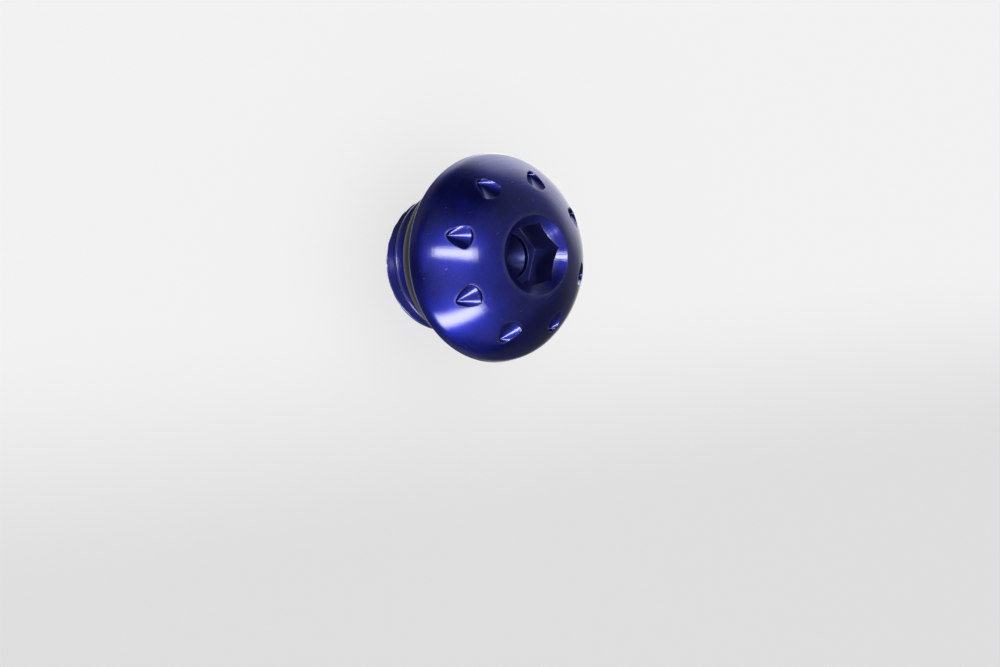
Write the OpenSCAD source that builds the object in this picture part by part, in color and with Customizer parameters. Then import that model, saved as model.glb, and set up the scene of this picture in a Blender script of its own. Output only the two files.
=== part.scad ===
// Domed screw plug for a threaded filler port, with its sealing ring.
// Units are millimetres. The origin is the centre of the stub's end face, and +Z runs up the plug's
// axis and out of the dome. One of the dome's spot-milled notches lies over +X.

/* [Head] */
// Diameter of the head at its widest edge
head_d = 29; // [28.5:0.5:32]
// Height of the 45 degree bevel from the seat up to the widest edge
bevel_h = 2.1; // [1.6:0.1:2.2]
// Height of the plain band between the widest edge and the dome
rim_h = 1.45; // [1:0.05:2]
// How much smaller the band is in diameter where the dome starts
rim_taper = 0.6; // [0:0.1:1]
// Radius of the dome's sphere
dome_r = 15.8; // [15.5:0.1:18]

/* [Notches] */
// Number of spot-milled notches around the dome
notch_count = 8; // [4:1:10]
// Distance of each notch's lowest point from the axis
notch_ring_r = 11.6; // [11:0.1:12]
// Depth of that lowest point under the dome
notch_depth = 0.9; // [0.5:0.1:1.2]
// Diameter of the 90 degree spot drill
notch_tool_d = 4.6; // [4:0.1:5]

/* [Hex socket] */
// Size across the flats
socket_af = 8; // [6:1:8]
// Height of the socket's floor above the widest edge
socket_floor_h = 3.4; // [3:0.1:5]
// Angle from a notch to the nearest corner of the hexagon
socket_turn = 12.5; // [0:0.5:30]
// Diameter of the countersink where it meets the dome
countersink_d = 11; // [10.5:0.1:12]
// Included angle of the countersink
countersink_angle = 100; // [90:10:110]
// Diameter of the pilot hole under the hexagon
pilot_d = 6.4; // [5:0.1:6.8]
// Depth of the pilot hole's straight wall under the floor
pilot_depth = 0.7; // [0.2:0.1:1]

/* [Threaded stub] */
// Length of the stub from the seat to its end
stub_len = 10.3; // [9.6:0.1:14]
// Diameter over the thread's crests, M20
thread_d = 19.9; // [19.7:0.1:20]
// Pitch of the thread
thread_pitch = 2.5; // [2:0.5:2.5]
// Angle from +X at which the middle of the thread's groove crosses the end face
thread_turn = 30; // [0:10:350]
// Depth of the end's chamfer, measured towards the axis
end_chamfer_w = 1.5; // [1.5:0.1:1.8]
// Height of the end's chamfer, measured along the axis
end_chamfer_h = 0.4; // [0.4:0.1:1.8]
// Diameter of the plain neck that carries the sealing ring
neck_d = 16.9; // [16.5:0.1:16.9]
// Length of the neck from the seat to the thread
neck_len = 4; // [3.9:0.1:4.4]

/* [Sealing ring] */
// Diameter of the ring's round section
ring_section_d = 3.8; // [3:0.1:3.8]

/* [Hidden] */
$fn = 96;
cut = 0.5;                 // how far a cutter runs past the face that it opens
seat_z = stub_len;
edge_z = seat_z + bevel_h;
rim_top_z = edge_z + rim_h;
rim_top_r = (head_d - rim_taper) / 2;
dome_centre_z = rim_top_z - sqrt(dome_r * dome_r - rim_top_r * rim_top_r);
countersink_z = dome_height(countersink_d / 2);
countersink_slope = 1 / tan(countersink_angle / 2);
countersink_h = countersink_d / 2 * countersink_slope;
countersink_over = dome_height(0) - countersink_z + cut;
socket_floor_z = edge_z + socket_floor_h;
socket_corner_r = socket_af / 2 / cos(30);
pilot_point_angle = 45;    // half of the 90 degree point that drills the pilot hole
notch_apex_z = dome_height(notch_ring_r) - notch_depth;
thread_r = thread_d / 2;
thread_depth = 0.5413 * thread_pitch;
thread_top_z = seat_z - neck_len;
groove_skirt = 0.2;        // how far the groove's cutter stands outside the crests
groove_root_w = thread_pitch / 8;
groove_open_w = groove_root_w + (thread_depth + groove_skirt) * tan(30);
groove_turns = (thread_top_z + groove_open_w) / thread_pitch + 1;
groove_steps = 40;         // facets of the groove in each turn
ring_r = (neck_d + ring_section_d) / 2;
ring_z = seat_z - ring_section_d / 2;

// Height of the dome's surface at a distance r from the axis
function dome_height(r) = dome_centre_z + sqrt(dome_r * dome_r - r * r);

// Seat, bevel, plain band and dome as one turned blank
module head_blank() {
    translate([0, 0, seat_z])
        cylinder(h = bevel_h, r1 = head_d / 2 - bevel_h, r2 = head_d / 2);
    translate([0, 0, edge_z])
        cylinder(h = rim_h, r1 = head_d / 2, r2 = rim_top_r);
    intersection() {
        translate([0, 0, dome_centre_z])
            sphere(r = dome_r);
        translate([0, 0, rim_top_z])
            cylinder(h = dome_r, r = rim_top_r);
    }
}

// Neck and plain thread blank with its chamfered end
module stub_blank() {
    neck_r = neck_d / 2;
    rotate_extrude()
        polygon([
            [0, 0],
            [thread_r - end_chamfer_w, 0],
            [thread_r, end_chamfer_h],
            [thread_r, thread_top_z - (thread_r - neck_r)],
            [neck_r, thread_top_z],
            [neck_r, seat_z + cut],
            [0, seat_z + cut]
        ]);
}

// Right-hand V groove between the thread's crests, swept as one closed strip.
// It starts below the stub's end face and runs out over the neck.
module thread_groove() {
    steps = ceil(groove_turns * groove_steps);
    root_r = thread_r - thread_depth;
    open_r = thread_r + groove_skirt;
    section = [
        [open_r, -groove_open_w],
        [root_r, -groove_root_w],
        [root_r, groove_root_w],
        [open_r, groove_open_w]
    ];
    points = [
        for (i = [0 : steps])
            let (turn = i / groove_steps, a = 360 * turn + thread_turn, z = (turn - 1) * thread_pitch)
                for (p = section) [p[0] * cos(a), p[0] * sin(a), z + p[1]]
    ];
    sides = [
        for (i = [0 : steps - 1], k = [0 : 3])
            let (a = 4 * i + k, b = 4 * i + (k + 1) % 4)
                each [[a, a + 4, b], [b, a + 4, b + 4]]
    ];
    first_cap = [0, 1, 2, 3];
    last_cap = [for (k = [3 : -1 : 0]) 4 * steps + k];
    polyhedron(points, concat([first_cap], sides, [last_cap]));
}

// Countersink, hexagon and pilot hole with the drill's point
module socket_cutter() {
    countersink_h_over = countersink_h + countersink_over;
    translate([0, 0, countersink_z - countersink_h])
        cylinder(h = countersink_h_over, r1 = 0, r2 = countersink_h_over / countersink_slope);
    rotate([0, 0, socket_turn])
        translate([0, 0, socket_floor_z])
            cylinder(h = countersink_z - socket_floor_z, r = socket_corner_r, $fn = 6);
    translate([0, 0, socket_floor_z - pilot_depth])
        cylinder(h = pilot_depth + cut, d = pilot_d);
    point_h = pilot_d / 2 / tan(pilot_point_angle);
    translate([0, 0, socket_floor_z - pilot_depth - point_h])
        cylinder(h = point_h, r1 = 0, r2 = pilot_d / 2);
}

// One plunge of the spot drill: its 90 degree point and its shank
module notch_cutter() {
    translate([notch_ring_r, 0, notch_apex_z])
        cylinder(h = notch_tool_d / 2, r1 = 0, r2 = notch_tool_d / 2);
    translate([notch_ring_r, 0, notch_apex_z + notch_tool_d / 2])
        cylinder(h = notch_tool_d, d = notch_tool_d);
}

// The plug, turned and milled from one bar of aluminium and anodised blue
module plug_body() {
    color([0.07, 0.06, 0.48])
        difference() {
            union() {
                head_blank();
                stub_blank();
            }
            thread_groove();
            socket_cutter();
            for (i = [0 : notch_count - 1])
                rotate([0, 0, 360 * i / notch_count])
                    notch_cutter();
        }
}

// The rubber ring that lies against the seat, round the neck
module o_ring() {
    color([0.07, 0.07, 0.07])
        translate([0, 0, ring_z])
            rotate_extrude()
                translate([ring_r, 0])
                    circle(d = ring_section_d);
}

plug_body();
o_ring();
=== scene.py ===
"""Looks for the domed screw plug: the blue anodised body and its rubber sealing ring.

Everything is in metres in the CAD frame: +Z runs up the plug's axis, the stub's end face is at z = 0,
and one notch lies over +X. Shapes are worked out in millimetres and turned into metres by MM.
"""

import math

import bmesh
import bpy
from mathutils import Matrix, Vector


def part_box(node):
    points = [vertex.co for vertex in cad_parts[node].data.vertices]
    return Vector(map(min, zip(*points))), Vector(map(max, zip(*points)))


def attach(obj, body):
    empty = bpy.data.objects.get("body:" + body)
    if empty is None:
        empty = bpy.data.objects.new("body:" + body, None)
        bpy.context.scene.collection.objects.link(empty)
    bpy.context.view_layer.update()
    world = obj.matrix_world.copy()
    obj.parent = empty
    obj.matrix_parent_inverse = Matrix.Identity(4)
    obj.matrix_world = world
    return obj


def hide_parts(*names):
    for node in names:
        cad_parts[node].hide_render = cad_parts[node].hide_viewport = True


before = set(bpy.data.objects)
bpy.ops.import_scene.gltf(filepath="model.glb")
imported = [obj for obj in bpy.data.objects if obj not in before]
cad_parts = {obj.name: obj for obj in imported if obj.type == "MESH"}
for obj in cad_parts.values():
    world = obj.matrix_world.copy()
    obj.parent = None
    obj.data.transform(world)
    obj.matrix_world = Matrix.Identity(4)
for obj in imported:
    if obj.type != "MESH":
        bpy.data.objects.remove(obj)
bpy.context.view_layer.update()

MM = 0.001
TAU = 2 * math.pi

# ---------------------------------------------------------------- sizes, in millimetres
body_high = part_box("plug_body")[1] / MM
ring_low, ring_high = [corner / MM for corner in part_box("o_ring")]

HEAD_R = body_high.x
SEAT_Z = ring_high.z
BEVEL_H = 2.1
EDGE_Z = SEAT_Z + BEVEL_H
RIM_H = 1.45
RIM_TAPER = 0.3
RIM_TOP_Z = EDGE_Z + RIM_H
RIM_TOP_R = HEAD_R - RIM_TAPER
DOME_R = 15.8
DOME_CENTRE_Z = RIM_TOP_Z - math.sqrt(DOME_R**2 - RIM_TOP_R**2)

COUNTERSINK_R = 5.5
COUNTERSINK_ANGLE = 100
COUNTERSINK_SLOPE = math.tan(math.radians(90 - COUNTERSINK_ANGLE / 2))
SOCKET_AF = 8.0
SOCKET_TURN = 12.5
SOCKET_FLOOR_Z = EDGE_Z + 3.4
PILOT_R = 3.2
PILOT_LOW_Z = SOCKET_FLOOR_Z - 0.7
PILOT_SLOPE = 1.0  # of the 90 degree drill's point
PILOT_TIP_Z = PILOT_LOW_Z - PILOT_R * PILOT_SLOPE

NOTCHES = 8
NOTCH_RING_R = 11.6
NOTCH_DEPTH = 0.9
NOTCH_TOOL_R = 2.3

THREAD_R = 9.95
THREAD_PITCH = 2.5
THREAD_DEPTH = 0.5413 * THREAD_PITCH
THREAD_ROOT_R = THREAD_R - THREAD_DEPTH
THREAD_TURN = math.radians(30)
THREAD_TOP_Z = SEAT_Z - 4.0
END_CHAMFER_W = 1.5
END_CHAMFER_H = 0.4

RING_SECTION_R = (ring_high.z - ring_low.z) / 2
RING_R = ring_high.x - RING_SECTION_R
NECK_R = RING_R - RING_SECTION_R
FLASH_H = 0.035  # how far the ring's mould line stands out
FLASH_W = 0.09

# Radii of the broken edges
EDGE_R = 0.12
MOUTH_EDGE_R = EDGE_R * 1.3
HEXAGON_EDGE_R = EDGE_R * 0.7
FLOOR_EDGE_R = EDGE_R * 1.5
PILOT_EDGE_R = EDGE_R * 0.6
BACK_EDGE_R = 0.26
SEAT_EDGE_R = 0.14
NECK_EDGE_R = 0.15
CREST_EDGE_R = 0.12
ROOT_EDGE_R = 0.25
CREASE_W = 0.32  # width of the rounding between the dome and the plain band, on each side

# ---------------------------------------------------------------- mesh density
AROUND = 288  # points round the axis, a multiple of 8 notches and of 6 socket corners
SIDE_STEPS = 32  # points along each side of a notch's sector
ARC_STEPS = 4  # facets in each broken edge
RING_STEPS = 96  # points round the ring's section
LONG_RUN = 0.3  # straight stretches of an outline longer than this get more points
RUN_SHARES = (0.04, 0.3, 0.7, 0.96)
THREAD_SPACING = 0.14  # between the thread's rows
TIP_R = 0.4  # of the small cone that closes the pilot hole's point
JOIN_GAP = 2e-7  # metres
SLIVER = 1e-7  # metres


# ---------------------------------------------------------------- shapes
def dome_z(r):
    """Height of the dome at a distance r from the axis."""
    return DOME_CENTRE_Z + math.sqrt(DOME_R**2 - r * r)


def dome_slope(r):
    """How fast the dome's height changes with the distance from the axis."""
    return -r / math.sqrt(DOME_R**2 - r * r)


MOUTH_Z = dome_z(COUNTERSINK_R)
NOTCH_APEX_Z = dome_z(NOTCH_RING_R) - NOTCH_DEPTH


def blend(a, b, t):
    return a + (b - a) * t


def spread(a, b, steps, power=1.0):
    """Values between a and b, without either end, closer together near a when power is above 1."""
    return [blend(a, b, (k / steps) ** power) for k in range(1, steps)]


def around(r, z):
    """A row of points round the axis."""
    return [(r * math.cos(a), r * math.sin(a), z) for a in (TAU * i / AROUND for i in range(AROUND))]


def arc_at(corner, towards_before, towards_after, radius):
    """ARC_STEPS + 1 points of the arc that rounds a corner between two straight directions."""
    before = Vector(towards_before).normalized()
    after = Vector(towards_after).normalized()
    half = before.angle(after) / 2
    start = corner + before * (radius / math.tan(half))
    centre = corner + (before + after).normalized() * (radius / math.sin(half))
    first = start - centre
    sweep = math.pi - 2 * half
    points = []
    for k in range(ARC_STEPS + 1):
        turn = sweep * k / ARC_STEPS
        points.append(centre + first * math.cos(turn) - before * (radius * math.sin(turn)))
    return points


def round_outline(points, radii):
    """The outline with each of its inner corners rounded."""
    corners = [Vector(p) for p in points]
    out = [corners[0]]
    for before, corner, after, radius in zip(corners, corners[1:], corners[2:], radii):
        out += arc_at(corner, before - corner, after - corner, radius)
    return out + [corners[-1]]


def thicken(outline):
    """Adds points to each long stretch of an outline, next to its ends and between them."""
    out = [outline[0]]
    for a, b in zip(outline, outline[1:]):
        if (b - a).length > LONG_RUN:
            out += [a.lerp(b, share) for share in RUN_SHARES]
        out.append(b)
    return out


class Surface:
    """Points and faces in millimetres, joined into one mesh at the end."""

    def __init__(self):
        self.points = []
        self.faces = []

    def grid(self, rows, closed=True):
        """Faces between rows of points. Each row has the same number, and closed joins its ends."""
        first = len(self.points)
        count = len(rows[0])
        for row in rows:
            self.points += row
        spans = count if closed else count - 1
        for j in range(len(rows) - 1):
            for i in range(spans):
                a = first + j * count + i
                b = first + j * count + (i + 1) % count
                self.faces.append((a, b, b + count, a + count))

    def fan(self, row, tip):
        """Triangles from a closed row to one point."""
        first = len(self.points)
        self.points += row + [tip]
        last = first + len(row)
        for i in range(len(row)):
            self.faces.append((first + i, first + (i + 1) % len(row), last))

    def piece(self, name, sharp_angle):
        """The closed mesh object, in metres, with doubled points joined and faces turned outwards."""
        mesh = bpy.data.meshes.new(name)
        bm = bmesh.new()
        verts = [bm.verts.new(Vector(p) * MM) for p in self.points]
        for face in self.faces:
            bm.faces.new([verts[k] for k in face])
        bmesh.ops.remove_doubles(bm, verts=bm.verts, dist=JOIN_GAP)
        bmesh.ops.dissolve_degenerate(bm, edges=bm.edges, dist=SLIVER)
        bmesh.ops.recalc_face_normals(bm, faces=bm.faces)
        for face in bm.faces:
            face.smooth = True
        mark_edges(bm)
        bm.to_mesh(mesh)
        bm.free()
        mesh.set_sharp_from_angle(angle=math.radians(sharp_angle))
        piece = bpy.data.objects.new(name, mesh)
        bpy.context.scene.collection.objects.link(piece)
        return piece


def mark_edges(bm):
    """Stores how far each point lies on an outer edge, from 0 to 1, for the worn edges' paler colour,
    which is also a painted highlight.
    """
    layer = bm.verts.layers.float.new("edge")
    flattest, sharpest = math.radians(4), math.radians(11)
    for vert in bm.verts:
        bend = max(edge.calc_face_angle_signed(0.0) for edge in vert.link_edges)
        vert[layer] = min(max((bend - flattest) / (sharpest - flattest), 0.0), 1.0)


# ---------------------------------------------------------------- the plug body
def notch_rim(dome_at):
    """Where a spoke leaves the notch: its cone meets the dome, or its shank's wall meets it first."""
    low, high = 0.0, NOTCH_TOOL_R
    if NOTCH_APEX_Z + high < dome_at(high):
        return high
    halvings = 40
    for _ in range(halvings):
        rim = (low + high) / 2
        if NOTCH_APEX_Z + rim < dome_at(rim):
            low = rim
        else:
            high = rim
    return rim


def notch_profile(direction, edge):
    """Distances and heights along one spoke, from a notch's lowest point to the edge of its sector.

    The spoke climbs the spot drill's 45 degree cone, then the wall that its shank leaves where the
    dome is higher, and ends on the dome.
    """

    def dome_at(distance):
        return dome_z((Vector((NOTCH_RING_R, 0)) + direction * distance).length)

    rim = notch_rim(dome_at)
    rim_z = dome_at(rim)
    wall = max(rim_z - (NOTCH_APEX_Z + rim), 0.0)
    small_step = 0.01
    outward = Vector((small_step, dome_at(rim + small_step) - rim_z))
    foot_gap = 0.2
    if wall > foot_gap:
        foot = Vector((rim, NOTCH_APEX_Z + rim))
        inward = Vector((0, -1))
    else:
        back = (foot_gap - wall) / math.sqrt(2)
        foot = Vector((rim - back, NOTCH_APEX_Z + rim - back))
        inward = foot - Vector((rim, rim_z))
    lip = arc_at(Vector((rim, rim_z)), inward, outward, EDGE_R)

    near_tip = [0.04, 0.12, 0.3]
    on_cone = near_tip + spread(near_tip[-1], foot.x, 5)
    nearest = 0.08
    on_dome = [nearest] + spread(nearest, 1.0, 9, 1.4) + [1.0]
    profile = [Vector((distance, NOTCH_APEX_Z + distance)) for distance in on_cone]
    profile += [foot, foot.lerp(lip[0], 0.5)]
    profile += lip
    for share in on_dome:
        distance = blend(lip[-1].x, edge, share)
        profile.append(Vector((distance, dome_at(distance))))
    return profile


def sector_edge(inner_r, outer_r):
    """Points round the edge of one notch's sector of the dome, anticlockwise from its outer arc."""
    half = math.pi / NOTCHES
    steps = AROUND // NOTCHES
    edge = [(outer_r, blend(-half, half, k / steps)) for k in range(steps)]
    edge += [(blend(outer_r, inner_r, k / SIDE_STEPS), half) for k in range(SIDE_STEPS)]
    edge += [(inner_r, blend(half, -half, k / steps)) for k in range(steps)]
    edge += [(blend(inner_r, outer_r, k / SIDE_STEPS), -half) for k in range(SIDE_STEPS)]
    return [Vector((r * math.cos(a), r * math.sin(a))) for r, a in edge]


def add_dome(surface, inner_r, outer_r):
    """The dome between the countersink and the plain band, with its notches."""
    centre = Vector((NOTCH_RING_R, 0))
    spokes = []
    for corner in sector_edge(inner_r, outer_r):
        reach = corner - centre
        direction = reach.normalized()
        profile = notch_profile(direction, reach.length)
        spokes.append([(*(centre + direction * p.x), p.y) for p in profile])
    rows = [list(row) for row in zip(*spokes)]
    lowest = Vector((NOTCH_RING_R, 0, NOTCH_APEX_Z))
    for k in range(NOTCHES):
        turn = Matrix.Rotation(TAU * k / NOTCHES, 3, "Z")
        turned = [[tuple(turn @ Vector(p)) for p in row] for row in rows]
        surface.grid(turned)
        surface.fan(turned[0], tuple(turn @ lowest))


def hexagon_r(angle):
    """Distance from the axis to the hexagon's wall."""
    sixth = TAU / 6
    from_corner = (angle - math.radians(SOCKET_TURN)) % sixth
    return SOCKET_AF / 2 / math.cos(from_corner - sixth / 2)


def socket_profile(angle):
    """Outline of the socket in the plane at one angle, from the dome inwards and down."""
    outward = (1, dome_slope(COUNTERSINK_R))
    inward = (-1, -COUNTERSINK_SLOPE)
    mouth = arc_at(Vector((COUNTERSINK_R, MOUTH_Z)), outward, inward, MOUTH_EDGE_R)
    mouth[0].y = dome_z(mouth[0].x)
    wall_r = hexagon_r(angle)
    rest = round_outline(
        [
            mouth[-1],
            (wall_r, MOUTH_Z - (COUNTERSINK_R - wall_r) * COUNTERSINK_SLOPE),
            (wall_r, SOCKET_FLOOR_Z),
            (PILOT_R, SOCKET_FLOOR_Z),
            (PILOT_R, PILOT_LOW_Z),
            (TIP_R, PILOT_TIP_Z + TIP_R * PILOT_SLOPE),
        ],
        [HEXAGON_EDGE_R, FLOOR_EDGE_R, PILOT_EDGE_R, PILOT_EDGE_R],
    )
    return thicken(mouth[:-1] + rest)


def add_socket(surface):
    """Countersink, hexagon and pilot hole. Returns the radius at which the dome starts."""
    columns = []
    for i in range(AROUND):
        angle = TAU * i / AROUND
        profile = socket_profile(angle)
        columns.append([(p.x * math.cos(angle), p.x * math.sin(angle), p.y) for p in profile])
    rows = [list(row) for row in zip(*columns)]
    surface.grid(rows)
    surface.fan(rows[-1], (0, 0, PILOT_TIP_Z))
    return columns[0][0][0]


def add_band_and_neck(surface):
    """The plain band, the bevel, the seat and the neck. Returns the radius at which the dome ends."""
    start_r = RIM_TOP_R - CREASE_W
    outward = Vector((1, dome_slope(start_r))).normalized()
    down = Vector((RIM_TAPER, -RIM_H))
    reach = CREASE_W / outward.x
    corner = Vector((start_r, dome_z(start_r))) + outward * reach
    crease = arc_at(corner, -outward, down, reach * math.tan((-outward).angle(down) / 2))
    rest = round_outline(
        [
            crease[-1],
            (HEAD_R, EDGE_Z),
            (HEAD_R - BEVEL_H, SEAT_Z),
            (NECK_R, SEAT_Z),
            (NECK_R, THREAD_TOP_Z),
        ],
        [BACK_EDGE_R, SEAT_EDGE_R, NECK_EDGE_R],
    )
    surface.grid([around(p.x, p.y) for p in thicken(crease[:-1] + rest)])
    return crease[0].x


def blank_r(z):
    """Radius of the thread's blank, chamfered at the stub's end and down to the neck."""
    at_end = THREAD_R - END_CHAMFER_W * (1 - z / END_CHAMFER_H)
    at_neck = NECK_R + THREAD_TOP_Z - z
    return min(THREAD_R, at_end, at_neck)


def groove_outline():
    """One pitch of the thread as (height, radius) points, evenly spread from crest to crest."""
    half_root = THREAD_PITCH / 8
    half_open = half_root + THREAD_DEPTH * math.tan(math.radians(30))
    half_pitch = THREAD_PITCH / 2
    outline = round_outline(
        [
            (-half_pitch, THREAD_R),
            (-half_open, THREAD_R),
            (-half_root, THREAD_ROOT_R),
            (half_root, THREAD_ROOT_R),
            (half_open, THREAD_R),
            (half_pitch, THREAD_R),
        ],
        [CREST_EDGE_R, ROOT_EDGE_R, ROOT_EDGE_R, CREST_EDGE_R],
    )
    spaced = []
    for a, b in zip(outline, outline[1:]):
        steps = max(1, round((b - a).length / THREAD_SPACING))
        spaced += [a.lerp(b, k / steps) for k in range(steps)]
    return spaced


def thread_row(turn, height, radius):
    """One turn of a row that follows the helix, cut off flat at both ends of the thread."""
    row = []
    for i in range(AROUND + 1):
        part = i / AROUND
        angle = TAU * part + THREAD_TURN
        z = (turn - 1 + part) * THREAD_PITCH + height
        z = min(max(z, 0.0), THREAD_TOP_Z)
        r = min(radius, blank_r(z))
        if z in (0.0, THREAD_TOP_Z):
            r = blank_r(z)
        row.append((r * math.cos(angle), r * math.sin(angle), z))
    return row


def add_thread(surface):
    """The helical thread and the stub's flat end."""
    turns = math.ceil(THREAD_TOP_Z / THREAD_PITCH) + 2
    outline = groove_outline()
    rows = [thread_row(turn, p.x, p.y) for turn in range(turns) for p in outline]
    surface.grid(rows, closed=False)
    end_r = THREAD_R - END_CHAMFER_W
    rings = [around(r, 0.0) for r in (end_r, end_r - 0.1, end_r * 0.7, end_r * 0.35)]
    surface.grid(rings)
    surface.fan(rings[-1], (0, 0, 0))


def make_plug_body():
    surface = Surface()
    inner_r = add_socket(surface)
    outer_r = add_band_and_neck(surface)
    add_dome(surface, inner_r, outer_r)
    add_thread(surface)
    return surface.piece("plug_body_anodised", sharp_angle=32)


def make_o_ring():
    """The moulded ring, with the faint flash line that its mould leaves round the outside."""
    surface = Surface()
    rows = []
    for k in range(RING_STEPS):
        a = TAU * k / RING_STEPS
        height = RING_SECTION_R * math.sin(a)
        outwards = max(math.cos(a), 0.0)
        r = RING_SECTION_R - FLASH_H * outwards * (1 - math.exp(-((height / FLASH_W) ** 2)))
        rows.append(around(RING_R + r * math.cos(a), SEAT_Z - RING_SECTION_R + r * math.sin(a)))
    surface.grid(rows + [rows[0]])
    return surface.piece("o_ring_rubber", sharp_angle=60)


# ---------------------------------------------------------------- material nodes
def is_socket(value):
    return hasattr(value, "is_output")


class Graph:
    """A node tree, with short ways to add the nodes that the looks are made of."""

    # Places of the colour inputs and the colour output among a Mix node's sockets
    MIX_COLOURS = (6, 7)
    MIX_RESULT = 2

    def __init__(self, tree):
        self.nodes = tree.nodes
        self.links = tree.links

    def feed(self, slot, value):
        """Links an input to another node's output, or sets it to a plain value."""
        if is_socket(value):
            self.links.new(value, slot)
        else:
            slot.default_value = value

    def math(self, operation, *values):
        """A Math node on sockets or plain numbers."""
        made = self.nodes.new("ShaderNodeMath")
        made.operation = operation
        for slot, value in zip(made.inputs, values):
            self.feed(slot, value)
        return made.outputs[0]

    def stretch(self, value, low, high, out_low=0.0, out_high=1.0):
        """A value mapped from one range to another, held at the ends and smooth between them."""
        made = self.nodes.new("ShaderNodeMapRange")
        made.interpolation_type = "SMOOTHSTEP"
        names = ("Value", "From Min", "From Max", "To Min", "To Max")
        for name, number in zip(names, (value, low, high, out_low, out_high)):
            self.feed(made.inputs[name], number)
        return made.outputs[0]

    def tint(self, factor, *colours):
        """A blend of two colours, each a socket or three plain numbers."""
        made = self.nodes.new("ShaderNodeMix")
        made.data_type = "RGBA"
        self.feed(made.inputs["Factor"], factor)
        for place, colour in zip(self.MIX_COLOURS, colours):
            self.feed(made.inputs[place], colour if is_socket(colour) else (*colour, 1))
        return made.outputs[self.MIX_RESULT]

    def dot(self, direction, axis):
        """How far a direction runs along a fixed axis."""
        made = self.nodes.new("ShaderNodeVectorMath")
        made.operation = "DOT_PRODUCT"
        self.feed(made.inputs[0], direction)
        self.feed(made.inputs[1], axis)
        return made.outputs["Value"]

    def in_millimetres(self):
        """The piece's own coordinates in millimetres."""
        scale = self.nodes.new("ShaderNodeVectorMath")
        scale.operation = "SCALE"
        scale.inputs["Scale"].default_value = 1 / MM
        self.feed(scale.inputs[0], self.nodes.new("ShaderNodeTexCoord").outputs["Object"])
        return scale.outputs[0]

    def round_the_axis(self, place):
        """Distance from the axis, height, and angle round the axis, from a place in millimetres."""
        parts = self.nodes.new("ShaderNodeSeparateXYZ")
        self.feed(parts.inputs[0], place)
        x, y, z = parts.outputs
        squares = self.math("MULTIPLY_ADD", x, x, self.math("MULTIPLY", y, y))
        return self.math("SQRT", squares), z, self.math("ARCTAN2", y, x)

    def noise(self, place, scale, detail):
        """Noise from 0 to 1 whose coarsest grains are about 1 / scale across."""
        made = self.nodes.new("ShaderNodeTexNoise")
        self.feed(made.inputs["Vector"], place)
        self.feed(made.inputs["Scale"], scale)
        self.feed(made.inputs["Detail"], detail)
        return made.outputs[0]

    def drawn_noise(self, values, scales, detail):
        """Noise over three sockets, each with its own scale."""
        made = self.nodes.new("ShaderNodeCombineXYZ")
        for slot, value, scale in zip(made.inputs, values, scales):
            self.feed(slot, self.math("MULTIPLY", value, scale))
        return self.noise(made.outputs[0], 1.0, detail)

    def scratches(self, place, turn, amount):
        """1 on a few fine straight scratches that run along one direction, and 0 elsewhere."""
        lay = self.nodes.new("ShaderNodeMapping")
        self.feed(lay.inputs["Vector"], place)
        self.feed(lay.inputs["Rotation"], turn)
        self.feed(lay.inputs["Scale"], SCRATCH_SCALES)
        lines = self.noise(lay.outputs[0], 1.0, 1.0)
        return self.stretch(lines, 1 - amount, 1 - amount + SCRATCH_BLUR)

    def bump(self, height, depth, *slots):
        """Presses a height pattern, depth metres deep, into the shader's normals."""
        made = self.nodes.new("ShaderNodeBump")
        self.feed(made.inputs["Distance"], depth)
        self.feed(made.inputs["Height"], height)
        for slot in slots:
            self.feed(slot, made.outputs[0])


def new_material(name):
    material = bpy.data.materials.new(name)
    material.use_nodes = True
    return material, Graph(material.node_tree), material.node_tree.nodes["Principled BSDF"].inputs


# ---------------------------------------------------------------- materials
# Scales of the patterns that follow the axis: outwards and up per millimetre, and round it per radian
TURNING_SCALES = (3.2, 3.2, 1.1)
CHATTER_SCALES = (0.3, 0.3, 20)
FLOW_SCALES = (2.2, 2.2, 0.9)

# Scales of the other patterns, per millimetre
SCRATCH_SCALES = (7.0, 0.32, 1.3)  # long along the second direction
SCRATCH_BLUR = 0.02
SATIN_SCALE = 5.5
PATCH_SCALE = 0.28
RUBBER_SCALE = 7.0
DUST_SCALE = 11.0

DEEP_DYE = (0.008, 0.013, 0.22)
THIN_DYE = (0.016, 0.023, 0.36)
# painted shade: a darker blue that the stub below the head is tinted towards
THREAD_PAINTED_SHADE = (0.004, 0.006, 0.1)
# painted shading: a greyer blue that the socket below the countersink is tinted towards, set to how light
# falls in the recess
SOCKET_PAINTED_SHADING = (0.07, 0.08, 0.28)
# paler worn outer edges, which also act as painted highlights along the rims
WORN_EDGE_AND_HIGHLIGHT_COLOUR = (0.3, 0.31, 0.58)
SCRATCHED_DYE = (0.35, 0.36, 0.6)

DEEP_RUBBER = (0.034, 0.034, 0.037)
PALE_RUBBER = (0.05, 0.05, 0.052)
DUST = (0.2, 0.2, 0.19)


def socket_masks(graph, radius, height):
    """1 inside the whole socket, and 1 in its dim part below the countersink, which gets the painted
    shading. Both are 0 elsewhere.
    """
    above_seat = graph.stretch(height, SEAT_Z, EDGE_Z)
    in_mouth = graph.stretch(radius, COUNTERSINK_R, COUNTERSINK_R - 0.2)
    in_hexagon = graph.stretch(radius, COUNTERSINK_R - 0.5, SOCKET_AF / 2 + 0.6)
    below_mouth = graph.stretch(height, MOUTH_Z - 0.7, MOUTH_Z - 1.3)
    whole = graph.math("MULTIPLY", in_mouth, above_seat)
    dim = graph.math("MULTIPLY", graph.math("MULTIPLY", in_hexagon, above_seat), below_mouth)
    return whole, dim


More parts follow.
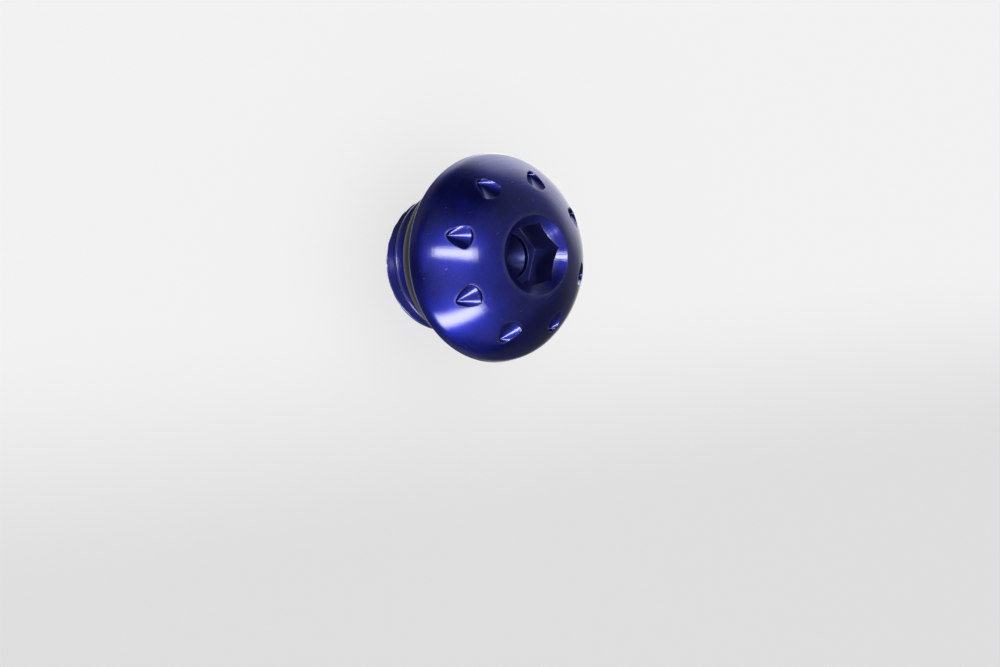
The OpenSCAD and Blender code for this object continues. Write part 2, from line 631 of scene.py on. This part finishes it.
def anodised_aluminium():
    """Turned aluminium under a dyed oxide: a satin metal below a thin clear coat.

    It has the lathe's fine rings, a satin grain, patches where the oxide was dyed unevenly, a few
    scratches, paler worn edges that also serve as a painted highlight, painted shade that darkens the stub
    below the head, a painted greyer shading in the socket below the countersink, and the cutter's radial
    marks in the countersink.
    """
    material, graph, shader = new_material("anodised_aluminium")
    place = graph.in_millimetres()
    radius, height, angle = graph.round_the_axis(place)

    turning = graph.drawn_noise((radius, height, angle), TURNING_SCALES, 4.0)
    chatter = graph.drawn_noise((radius, height, angle), CHATTER_SCALES, 1.0)
    satin = graph.noise(place, SATIN_SCALE, 3.0)
    patches = graph.noise(place, PATCH_SCALE, 3.0)
    uneven = graph.math("MULTIPLY_ADD", satin, 0.5, graph.math("MULTIPLY", patches, 0.5))
    one_way = graph.scratches(place, (0.4, 0.9, 0.6), 0.215)
    other_way = graph.scratches(place, (1.9, 0.3, 2.4), 0.21)
    scratched = graph.math("MAXIMUM", one_way, other_way)

    in_socket, socket_shading_mask = socket_masks(graph, radius, height)
    # painted shade: 0 above the seat, rising to 0.6 from the seat down to the thread's top
    thread_painted_shade = graph.stretch(height, SEAT_Z, THREAD_TOP_Z, 0, 0.6)
    edge = graph.nodes.new("ShaderNodeAttribute")
    edge.attribute_name = "edge"
    worn_edge_and_highlight = graph.math("MULTIPLY", graph.stretch(uneven, 0.35, 0.65, 0.3, 1), edge.outputs["Fac"])

    base_colour = graph.tint(graph.stretch(uneven, 0.35, 0.65), DEEP_DYE, THIN_DYE)
    # painted shade darkens the stub below the head
    base_colour = graph.tint(thread_painted_shade, base_colour, THREAD_PAINTED_SHADE)
    # painted shading in the socket below the countersink
    base_colour = graph.tint(graph.math("MULTIPLY", socket_shading_mask, 0.8), base_colour, SOCKET_PAINTED_SHADING)
    # worn edges, paler partly as wear and partly as a painted highlight
    base_colour = graph.tint(graph.math("MULTIPLY", worn_edge_and_highlight, 0.35), base_colour, WORN_EDGE_AND_HIGHLIGHT_COLOUR)
    base_colour = graph.tint(graph.math("MULTIPLY", scratched, 0.4), base_colour, SCRATCHED_DYE)
    graph.feed(shader["Base Color"], base_colour)

    roughness = graph.math("MULTIPLY_ADD", turning, 0.3, 0.05)
    roughness = graph.math("MULTIPLY_ADD", satin, 0.4, roughness)
    roughness = graph.math("MULTIPLY_ADD", patches, 0.1, roughness)
    graph.feed(shader["Roughness"], roughness)

    relief = graph.math("MULTIPLY_ADD", satin, 0.6, turning)
    relief = graph.math("MULTIPLY_ADD", graph.math("MULTIPLY", chatter, in_socket), 1.5, relief)
    relief = graph.math("MULTIPLY_ADD", scratched, -0.6, relief)
    graph.bump(relief, 0.011 * MM, shader["Normal"], shader["Coat Normal"])

    shader["Metallic"].default_value = 1.0
    shader["Coat Weight"].default_value = 1.0
    shader["Coat Roughness"].default_value = 0.11
    shader["Coat IOR"].default_value = 1.62
    return material


def black_rubber():
    """Moulded nitrile rubber: matt and dark grey, with a fine grain, a moulded flow and specks of dust."""
    material, graph, shader = new_material("black_rubber")
    place = graph.in_millimetres()

    grain = graph.noise(place, RUBBER_SCALE, 4.0)
    flow = graph.drawn_noise(graph.round_the_axis(place), FLOW_SCALES, 3.0)
    dusty = graph.stretch(graph.noise(place, DUST_SCALE, 0.0), 0.76, 0.8)

    shade = graph.tint(graph.stretch(flow, 0.3, 0.7), DEEP_RUBBER, PALE_RUBBER)
    shade = graph.tint(graph.math("MULTIPLY", dusty, 0.5), shade, DUST)
    graph.feed(shader["Base Color"], shade)
    graph.feed(shader["Roughness"], graph.math("MULTIPLY_ADD", grain, 0.2, 0.45))
    relief = graph.math("MULTIPLY_ADD", flow, 0.7, grain)
    graph.bump(relief, 0.02 * MM, shader["Normal"])
    return material


# ---------------------------------------------------------------- stage, light and camera
# Angles are in degrees. Azimuth 0 is over -Y and 90 over +X.
VIEW_AZIMUTH = -28.1
VIEW_ELEVATION = 52.5
VIEW_DISTANCE = 290 * MM
AXIS_TILT = 3.7  # of the plug's axis above level, as the camera sees it
AIM_RIGHT = 0.73 * MM
AIM_DOWN = 10.47 * MM
LENS = 75.5
SENSOR_WIDTH = 36

FLOOR_RADIUS = 3
FLOOR_SHADE = 0.4
# The floor's glow falls from the first value to the second across the floor: a painted falloff of light
# that darkens it towards the bottom of the view.
FLOOR_GLOW = (0.69, 0.54)
FLOOR_FADE = (5, 40)  # millimetres from the axis between which the glow goes from one to the other

CEILING_HEIGHT = 1.2
CEILING_SIZE = 2.4
CEILING_WATTS = 9

# Soft boxes as azimuth, elevation, half width, half height, roll, the share by which the lower end
# is narrower, and radiance
WINDOW_DISTANCE = 0.5
WINDOW_EDGES = (0.12, 0.3)  # from the middle, across and up, beyond which the glow falls off
WINDOWS = {
    "tall_window": (-37, 36.5, 9, 26, 0, 0.35, 13.5),
    "low_window": (32, 13, 10.5, 29, -13, 0, 12.5),
}

# The room that the plug reflects: patches as azimuth, elevation, half width, half height, roll,
# softness and radiance. A negative radiance is a dark part of the room.
ROOM_RADIANCE = 0.2
DARKEST_RADIANCE = 0.02
ROOM = {
    "dark_ceiling": (-103, 8, 26, 34, 0, 18, -0.19),
    "dark_side": (110, -8, 28, 34, 0, 18, -0.14),
    "dark_front": (8, -22, 82, 24, 0, 12, -0.15),
    "lit_wall": (-4, 32, 30, 20, 0, 14, 0.16),
    "backdrop": (191, -33, 35, 35, 0, 11, 0.95),
    "lit_backdrop": (199, -20, 16, 10, 0, 8, 0.4),
    "floor": (152, -80, 30, 30, 0, 14, 0.8),
}


def towards(azimuth, elevation):
    """Unit vector out from the plug."""
    a, e = math.radians(azimuth), math.radians(elevation)
    return Vector((math.sin(a) * math.cos(e), -math.cos(a) * math.cos(e), math.sin(e)))


def aim_at(azimuth, elevation, roll):
    """Rotation of a panel that faces the plug from the given direction."""
    turn = towards(azimuth, elevation).to_track_quat("Z", "Y")
    return turn @ Matrix.Rotation(math.radians(roll), 4, "Z").to_quaternion()


def make_camera():
    """A rolled camera that sees the plug's axis pointing right, a little above level."""
    back = towards(VIEW_AZIMUTH, VIEW_ELEVATION)
    axis_up = (Vector((0, 0, 1)) - back * back.z).normalized()
    axis_side = axis_up.cross(back)
    tilt = math.radians(AXIS_TILT)
    right = math.cos(tilt) * axis_up + math.sin(tilt) * axis_side
    up = math.sin(tilt) * axis_up - math.cos(tilt) * axis_side
    centre = Vector((0, 0, EDGE_Z * MM))
    position = centre + back * VIEW_DISTANCE
    aim = centre + right * AIM_RIGHT - up * AIM_DOWN
    back = (position - aim).normalized()
    right = up.cross(back).normalized()
    up = back.cross(right)
    data = bpy.data.cameras.new("camera")
    data.lens = LENS
    data.sensor_width = SENSOR_WIDTH
    data.clip_start = 0.01
    camera = bpy.data.objects.new("camera", data)
    camera.matrix_world = Matrix.Translation(position) @ Matrix((right, up, back)).transposed().to_4x4()
    bpy.context.scene.collection.objects.link(camera)
    bpy.context.scene.camera = camera


def make_floor():
    """A plain pale floor that glows a little, like a light table, so that its shadows stay faint. Its glow
    weakens along one side, a painted falloff that darkens it towards the bottom of the view.
    """
    bpy.ops.mesh.primitive_circle_add(vertices=96, radius=FLOOR_RADIUS, fill_type="NGON")
    floor = bpy.context.object
    floor.name = "floor"
    material, graph, shader = new_material("pale_floor")
    across = graph.dot(graph.in_millimetres(), towards(VIEW_AZIMUTH + 90, 0))
    # painted falloff: the glow weakens across the floor, darker towards the bottom of the view
    graph.feed(shader["Emission Strength"], graph.stretch(across, *FLOOR_FADE, *FLOOR_GLOW))
    shader["Emission Color"].default_value = (1, 1, 1, 1)
    shader["Base Color"].default_value = (FLOOR_SHADE, FLOOR_SHADE, FLOOR_SHADE, 1)
    shader["Roughness"].default_value = 0.7
    shader["Specular IOR Level"].default_value = 0.1
    floor.data.materials.append(material)
    floor.visible_glossy = False


def soft_box(name, azimuth, elevation, half_width, half_height, roll, taper, radiance):
    """A tall lamp with soft edges, sized by the angles it fills. Only glossy surfaces see it."""
    data = bpy.data.lights.new(name, "AREA")
    data.shape = "RECTANGLE"
    data.size = 2 * WINDOW_DISTANCE * math.tan(math.radians(half_width))
    data.size_y = 2 * WINDOW_DISTANCE * math.tan(math.radians(half_height))
    data.energy = radiance * math.pi * data.size * data.size_y
    data.use_nodes = True
    graph = Graph(data.node_tree)
    place = graph.nodes.new("ShaderNodeSeparateXYZ")
    graph.feed(place.inputs[0], graph.nodes.new("ShaderNodeNewGeometry").outputs["Parametric"])
    across, along = place.outputs[0], place.outputs[1]
    narrowing = graph.stretch(along, 0, 1, 1 / (1 - taper), 1)
    glow = 1.0
    for share, widening, inner in zip((across, along), (narrowing, 1.0), WINDOW_EDGES):
        distance = graph.math("ABSOLUTE", graph.math("SUBTRACT", share, 0.5))
        distance = graph.math("MULTIPLY", distance, widening)
        glow = graph.math("MULTIPLY", glow, graph.stretch(distance, 0.5, inner))
    graph.feed(graph.nodes["Emission"].inputs["Strength"], glow)
    lamp = bpy.data.objects.new(name, data)
    centre = Vector((0, 0, EDGE_Z * MM)) + towards(azimuth, elevation) * WINDOW_DISTANCE
    lamp.matrix_world = Matrix.Translation(centre) @ aim_at(azimuth, elevation, roll).to_matrix().to_4x4()
    lamp.visible_camera = False
    lamp.visible_diffuse = False
    bpy.context.scene.collection.objects.link(lamp)


def ceiling_light():
    """A wide, even light from above that reflections don't show."""
    data = bpy.data.lights.new("ceiling_light", "AREA")
    data.size = CEILING_SIZE
    data.energy = CEILING_WATTS
    lamp = bpy.data.objects.new("ceiling_light", data)
    lamp.location = (0, 0, CEILING_HEIGHT)
    lamp.visible_camera = False
    lamp.visible_glossy = False
    bpy.context.scene.collection.objects.link(lamp)


def sky_patch(graph, direction, azimuth, elevation, half_width, half_height, roll, soft):
    """1 inside a soft-edged patch of sky and 0 outside it."""
    turn = aim_at(azimuth, elevation, roll)
    depth = graph.dot(direction, turn @ Vector((0, 0, 1)))
    inside = 1.0
    for axis, half in (((1, 0, 0), half_width), ((0, 1, 0), half_height)):
        angle = graph.math("ARCTAN2", graph.dot(direction, turn @ Vector(axis)), depth)
        off_centre = graph.math("ABSOLUTE", angle)
        edge = graph.stretch(off_centre, math.radians(half + soft), math.radians(half - soft))
        inside = graph.math("MULTIPLY", inside, edge)
    return inside


def make_room():
    """A dim room whose walls, ceiling and backdrop are soft patches."""
    world = bpy.data.worlds.new("studio")
    bpy.context.scene.world = world
    world.use_nodes = True
    graph = Graph(world.node_tree)
    direction = graph.nodes.new("ShaderNodeTexCoord").outputs["Generated"]
    total = ROOM_RADIANCE
    for *place, radiance in ROOM.values():
        total = graph.math("MULTIPLY_ADD", sky_patch(graph, direction, *place), radiance, total)
    total = graph.math("MAXIMUM", total, DARKEST_RADIANCE)
    background = graph.nodes["Background"].inputs
    background["Color"].default_value = (1, 1, 1, 1)
    graph.feed(background["Strength"], total)


# ---------------------------------------------------------------- the scene
make_camera()

plug_body = make_plug_body()
plug_body.data.materials.append(anodised_aluminium())
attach(plug_body, "root")
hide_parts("plug_body")

o_ring = make_o_ring()
o_ring.data.materials.append(black_rubber())
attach(o_ring, "root")
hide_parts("o_ring")

make_floor()
make_room()
for window, settings in WINDOWS.items():
    soft_box(window, *settings)
ceiling_light()
bpy.context.scene.view_settings.view_transform = "Standard"
